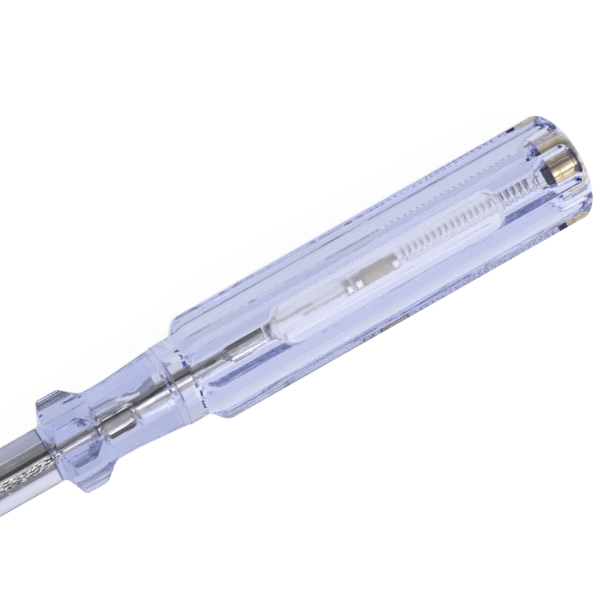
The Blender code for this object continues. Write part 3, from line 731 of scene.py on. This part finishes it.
def sleeve_rings():
    """Rings along the sleeve's outside and back through its uneven bore."""
    wave_count, bore_radius, ripple_height, step = 20, 1.46, 0.16, 0.12
    angles = even_angles(120)
    outside = rounded([
        (SLEEVE_START, 1.7, 0), (SLEEVE_START, 3.4, 0.15), (SLEEVE_START + 0.85, SLEEVE_RADIUS, 0.5),
        (SLEEVE_END, SLEEVE_RADIUS, 0.05), (SLEEVE_END, 1.7, 0),
    ], 5)
    rings = [ring_points(x, radius, angles) for x, radius in divided(outside, lambda x: 4.0)]
    random = np.random.default_rng(7)
    waves = [
        (random.uniform(1.0, 11.0), random.integers(1, 20), random.uniform(0, 6.28))
        for _ in range(wave_count)
    ]
    for x in np.arange(SLEEVE_END - 0.1, SLEEVE_START + 0.2, -step):
        ripple = sum(np.sin(k * x + n * angles + phase) for k, n, phase in waves) / wave_count
        rings.append(ring_points(x, bore_radius + ripple_height * ripple, angles))
    return rings


sleeve = mesh_of_rings("sleeve_clear", sleeve_rings(), SLEEVE, wrap=True)
settle(sleeve, "shank_sleeve", "handle")


# Neon lamp

tube = rounded([
    (100.0, 2.35, 0), (94.65, 2.35, 0.2), (94.65, 1.85, 0.2), (105.95, 1.85, 0.2), (105.95, 2.35, 0.2),
    (100.0, 2.35, 0),
], 5)
settle(turned("lamp_tube", tube, GLASS), "neon_glass", "lamp_stack")

contact_outline = rounded([
    (0.0, 0.0, 0), (0.0, 0.9, 0.1), (0.2, 0.95, 0.08), (0.22, 2.19, 0.2), (1.1, 2.2, 0.08), (1.1, 1.75, 0.05),
    (0.75, 1.7, 0.1), (0.75, 0.0, 0),
], 5)
for place, contact, way, side in (("front", LAMP_FRONT, 1, 0.7), ("rear", LAMP_REAR, -1, -0.7)):
    path = [(contact + way * x, radius) for x, radius in contact_outline]
    cap = turned(f"lamp_{place}_contact", path, NICKEL)
    settle(cap, f"neon_{place}_cap", "lamp_stack")
    line = [(contact + way * along, side, 0.0) for along in np.linspace(1.4, 8.0, 24)]
    electrode = swept(f"lamp_{place}_electrode", line, 0.35, NICKEL, 24)
    settle(electrode, f"neon_{place}_electrode", "lamp_stack")


# Series resistor

body = rounded([
    (109.15, 0.0, 0), (109.15, 1.88, 0.3), (110.2, 1.9, 0.4), (110.5, 1.75, 0.4), (112.0, 1.75, 0.4),
    (112.3, 1.9, 0.4), (113.35, 1.88, 0.3), (113.35, 0.0, 0),
], 5)
settle(turned("resistor_coated", body, COATING), "resistor_body", "lamp_stack")

band_outline = rounded([
    (0.0, 0.0, 0), (0.0, 2.1, 0.25), (1.0, 2.1, 0.1), (1.2, 1.95, 0.05), (1.2, 0.0, 0),
], 5)
for place, face, way in (("front", RESISTOR_FRONT, 1), ("rear", RESISTOR_REAR, -1)):
    cap = turned(f"resistor_{place}_band", [(face + way * x, radius) for x, radius in band_outline], NICKEL)
    settle(cap, f"resistor_{place}_cap", "lamp_stack")


# Contact spring, in two halves that meet at its middle

TURNS, STEPS_A_TURN, WIRE_RADIUS, WIRE_SIDES = 21, 28, 0.19, 12


def spring_path():
    """Centre line of the spring: straight ends along the axis, bends and an even helix."""
    coil_radius, bend_radius, bend_steps, straight, end_length = 2.0, 0.4, 6, 0.38, 0.78
    first, last = SPRING_FRONT + end_length, SPRING_REAR - end_length

    def helix(share):
        """Point of the coil by its share of the turns."""
        turn = 2 * math.pi * TURNS * share
        x = first + (last - first) * share
        return Vector((x, coil_radius * math.sin(turn), coil_radius * math.cos(turn)))

    def end(share, way):
        """Bend at one end of the coil and the short straight end after it."""
        turn = 2 * math.pi * TURNS * share
        tangent = way * Vector((0.0, math.cos(turn), -math.sin(turn)))
        along = Vector((way, 0, 0))
        points = []
        for step in range(1, bend_steps + 1):
            swing = math.radians(90.0) * step / bend_steps
            out, on = tangent * bend_radius * math.sin(swing), along * bend_radius * (1 - math.cos(swing))
            points.append(helix(share) + out + on)
        points.append(points[-1] + along * straight)
        return points

    steps = TURNS * STEPS_A_TURN
    return end(0.0, -1)[::-1] + [helix(index / steps) for index in range(steps + 1)] + end(1.0, 1)


wire = spring_path()
half = len(wire) // 2
front_half = swept("spring_front", wire[:half + 1], WIRE_RADIUS, WIRE, WIRE_SIDES)
rear_half = swept("spring_rear", wire[half:], WIRE_RADIUS, WIRE, WIRE_SIDES)
settle(front_half, "contact_spring", "handle")
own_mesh(front_half)
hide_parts("contact_spring")
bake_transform(rear_half)


# Brass end plug

def slot_cutter():
    """Box that cuts the slot across the plug's end face."""
    depth, length, width = 1.0, 12.0, 1.0
    size = Matrix.Diagonal((2 * depth * MM, length * MM, width * MM, 1))
    mesh = bpy.data.meshes.new("plug_slot")
    work = bmesh.new()
    bmesh.ops.create_cube(work, size=1.0)
    bmesh.ops.transform(work, verts=work.verts, matrix=Matrix.Translation((TOOL_END * MM, 0, 0)) @ size)
    work.to_mesh(mesh)
    work.free()
    cutter = bpy.data.objects.new("plug_slot", mesh)
    bpy.context.scene.collection.objects.link(cutter)
    return cutter


def brass_plug():
    """Turned plug with a hollow conical nose, a flared head and a slot across its face."""
    path = rounded([
        (PLUG_NOSE_END, 0.0, 0), (PLUG_NOSE_END - 0.1, 2.0, 0.2), (PLUG_START + 0.3, 2.62, 0.05),
        (PLUG_START + 0.3, 2.9, 0.05), (PLUG_NOSE_END, 4.1, 0.1), (PLUG_NOSE_END + 0.1, 4.2, 0.05),
        (141.0, 4.2, 0.05), (141.12, 4.08, 0.04), (141.28, 4.08, 0.04), (141.4, 4.2, 0.05),
        (143.66, 4.2, 0.04), (143.7, 4.4, 0.08), (TOOL_END, 4.4, 0.12), (TOOL_END, 0.0, 0),
    ], 6)
    plug = turned("plug_brass", path, BRASS, 96)
    cutter = slot_cutter()
    cut = plug.modifiers.new("slot", "BOOLEAN")
    cut.operation, cut.object, cut.solver = "DIFFERENCE", cutter, "EXACT"
    bevel = plug.modifiers.new("edges", "BEVEL")
    bevel.width, bevel.segments = 0.06 * MM, 2
    bevel.limit_method, bevel.angle_limit = "ANGLE", math.radians(50)
    bpy.context.view_layer.update()
    depsgraph = bpy.context.evaluated_depsgraph_get()
    mesh = bpy.data.meshes.new_from_object(plug.evaluated_get(depsgraph), depsgraph=depsgraph)
    plug.modifiers.clear()
    plug.data = mesh
    mesh.shade_smooth()
    mesh.set_sharp_from_angle(angle=SHARP_ANGLE)
    bpy.data.objects.remove(cutter, do_unlink=True)
    return plug


settle(brass_plug(), "end_plug", "plug")


# Floor, light and camera

WHITE = (1.0, 1.0, 1.0)


def ray_shares(tree):
    """One for rays that come by way of the part, and one for those and the camera's own."""
    path = add_node(tree, "ShaderNodeLightPath")
    by_part = calculate(tree, "MAXIMUM", path.outputs["Is Glossy Ray"], path.outputs["Is Transmission Ray"])
    return by_part, calculate(tree, "MAXIMUM", path.outputs["Is Camera Ray"], by_part)


def floor_glow_with_painted_shadows(tree):
    """How bright the floor looks by way of the part, with painted shadows on it.

    Under the grip it is bright, and a painted shadow makes it a little darker towards +Y. Under the ring it
    is slightly dimmer. Under the raised neck a painted shadow makes it dim, most of all far out on the +Y
    side. Under the sleeve the -Y side is dark from a painted shadow of the rod.
    """
    x, y = coordinate(tree, "X"), coordinate(tree, "Y")
    # Painted shadow: these brightness zones stand in for the shadows the tool casts on the floor.
    glow = spread(tree, y, 1.12, 0.93, -4.0 * MM, 2.5 * MM)
    ring = spread(tree, y, 0.86, 0.92, -4.0 * MM, 4.0 * MM)
    neck = spread(tree, y, 0.8, 0.3, 5.5 * MM, 8.0 * MM)
    sleeve = calculate(tree, "MULTIPLY", spread(tree, y, 0.45, 1.25, -0.2 * MM, 0.5 * MM), neck)
    soft = 0.4 * MM
    for edge, zone in ((RING_END, ring), (RING_START, neck), (NOSE, sleeve)):
        along = (edge - FLOOR_MIDDLE) * MM
        glow = mix_values(tree, spread(tree, x, 0.0, 1.0, along - soft, along + soft), zone, glow)
    return glow


def white_floor():
    """White floor that keeps a faint shadow, and by way of the part shows painted shadows, tinted violet
    where they are dim.
    """
    open_strength, glow_share, painted_shadow_violet = 1.08, 0.83, (0.92, 0.96, 1.14)
    material, tree, output = new_material("white_floor")
    by_part, seen = ray_shares(tree)
    under = floor_glow_with_painted_shadows(tree)
    strength = mix_values(tree, by_part, open_strength, under)
    # Painted shadow: where the painted zones are dim, the floor's glow is tinted violet, as if lit through
    # the plastic.
    dim = calculate(tree, "MULTIPLY", by_part, spread(tree, under, 1.0, 0.0, 0.8, 0.9))
    colour = mix_colours(tree, dim, WHITE, painted_shadow_violet)
    paint = add_node(tree, "ShaderNodeBsdfDiffuse", Color=(0.9, 0.9, 0.9, 1.0))
    glow = add_node(tree, "ShaderNodeEmission", Color=colour, Strength=strength)
    share = calculate(tree, "MULTIPLY", seen, glow_share)
    mix_shaders(tree, share, paint.outputs["BSDF"], glow.outputs["Emission"], output)
    return material


def flat_card(name, width, depth, material, placing):
    """Flat panel that belongs to the stage."""
    mesh = bpy.data.meshes.new(name)
    x, y = width / 2, depth / 2
    mesh.from_pydata([(-x, -y, 0), (x, -y, 0), (x, y, 0), (-x, y, 0)], [], [(0, 1, 2, 3)])
    mesh.materials.append(material)
    card = bpy.data.objects.new(name, mesh)
    card.matrix_world = placing
    bpy.context.scene.collection.objects.link(card)
    return card


def card_material(level):
    """Plain grey card that the metal reflects and the clear plastic shows in streaks."""
    material, tree, output = new_material("grey_card")
    glow = add_node(tree, "ShaderNodeEmission", Color=(level, level, level * 1.04, 1.0), Strength=1.0)
    tree.links.new(glow.outputs["Emission"], output.inputs["Surface"])
    return material


def beside_tool(x, elevation, side, distance):
    """Placing of a panel that faces the tool from the +Y or -Y side, at an elevation in degrees."""
    turn = Matrix.Rotation(side * math.radians(90 - elevation), 4, "X")
    return Matrix.Translation((x, 0, 0)) @ turn.inverted() @ Matrix.Translation((0, 0, distance))


def card_at(name, elevation, spread_deg, side, material):
    """Card beside the tool that spans some degrees of elevation and shows only by way of the part."""
    distance, width = 0.5, 1.6
    height = 2 * distance * math.tan(math.radians(spread_deg / 2))
    card = flat_card(name, width, height, material, beside_tool(0.07, elevation, side, distance))
    card.visible_camera = False
    card.visible_diffuse = False
    card.visible_shadow = False


def white_studio():
    """World that looks plain white, and gives matt surfaces a dimmer, cooler white light."""
    world = bpy.data.worlds.new("studio")
    bpy.context.scene.world = world
    world.use_nodes = True
    tree = world.node_tree
    tree.nodes.clear()
    output = tree.nodes.new("ShaderNodeOutputWorld")
    seen = ray_shares(tree)[1]
    studio = add_node(tree, "ShaderNodeBackground", Color=(0.97, 0.98, 1.0, 1.0), Strength=0.8)
    white = add_node(tree, "ShaderNodeBackground", Color=(*WHITE, 1.0), Strength=1.0)
    mix_shaders(tree, seen, studio.outputs["Background"], white.outputs["Background"], output)


def soft_box(name, elevation, side, width, height, radiance):
    """Area lamp beside the tool, facing it."""
    data = bpy.data.lights.new(name, "AREA")
    data.shape = "RECTANGLE"
    data.size, data.size_y = width, height
    data.energy = radiance * math.pi * width * height
    lamp = bpy.data.objects.new(name, data)
    lamp.matrix_world = beside_tool(0.09, elevation, side, 0.55)
    bpy.context.scene.collection.objects.link(lamp)


def photo_camera():
    """Camera above the tool, at the photograph's angle and turned so that the tool rises to the right."""
    data = bpy.data.cameras.new("camera")
    data.sensor_width = 36.0
    data.lens = 240.0
    data.clip_start = 0.02
    data.clip_end = 10.0
    tilt, roll, rise = math.radians(8.0), math.radians(3.8), math.radians(29.5)
    distance, target_x, target_across = 0.571, 0.10015, 0.001557
    view = Vector((-math.sin(tilt), math.cos(tilt) * math.sin(roll), math.cos(tilt) * math.cos(roll)))
    along = Vector((1, 0, 0))
    along = (along - view * along.dot(view)).normalized()
    across = view.cross(along)
    right = along * math.cos(rise) - across * math.sin(rise)
    up = along * math.sin(rise) + across * math.cos(rise)
    place = Vector((target_x, 0, 0)) + across * target_across + view * distance
    camera = bpy.data.objects.new("camera", data)
    camera.matrix_world = Matrix((
        (right.x, up.x, view.x, place.x), (right.y, up.y, view.y, place.y), (right.z, up.z, view.z, place.z),
        (0, 0, 0, 1),
    ))
    bpy.context.scene.collection.objects.link(camera)
    bpy.context.scene.camera = camera


flat_card("floor", 4.0, 4.0, white_floor(), Matrix.Translation((FLOOR_MIDDLE * MM, 0, FLOOR_HEIGHT * MM)))
card_at("high_card", elevation=66.0, spread_deg=40.0, side=1, material=card_material(0.12))
card_at("middle_card", elevation=24.0, spread_deg=42.0, side=1, material=card_material(0.42))
card_at("low_card", elevation=18.0, spread_deg=28.0, side=-1, material=card_material(0.75))
white_studio()
soft_box("key_box", elevation=62.0, side=-1, width=0.9, height=0.22, radiance=1.6)
photo_camera()

scene = bpy.context.scene
scene.view_settings.view_transform = "Standard"
scene.cycles.max_bounces = 32
scene.cycles.transmission_bounces = 32
scene.cycles.glossy_bounces = 16
scene.cycles.diffuse_bounces = 4
scene.cycles.transparent_max_bounces = 16
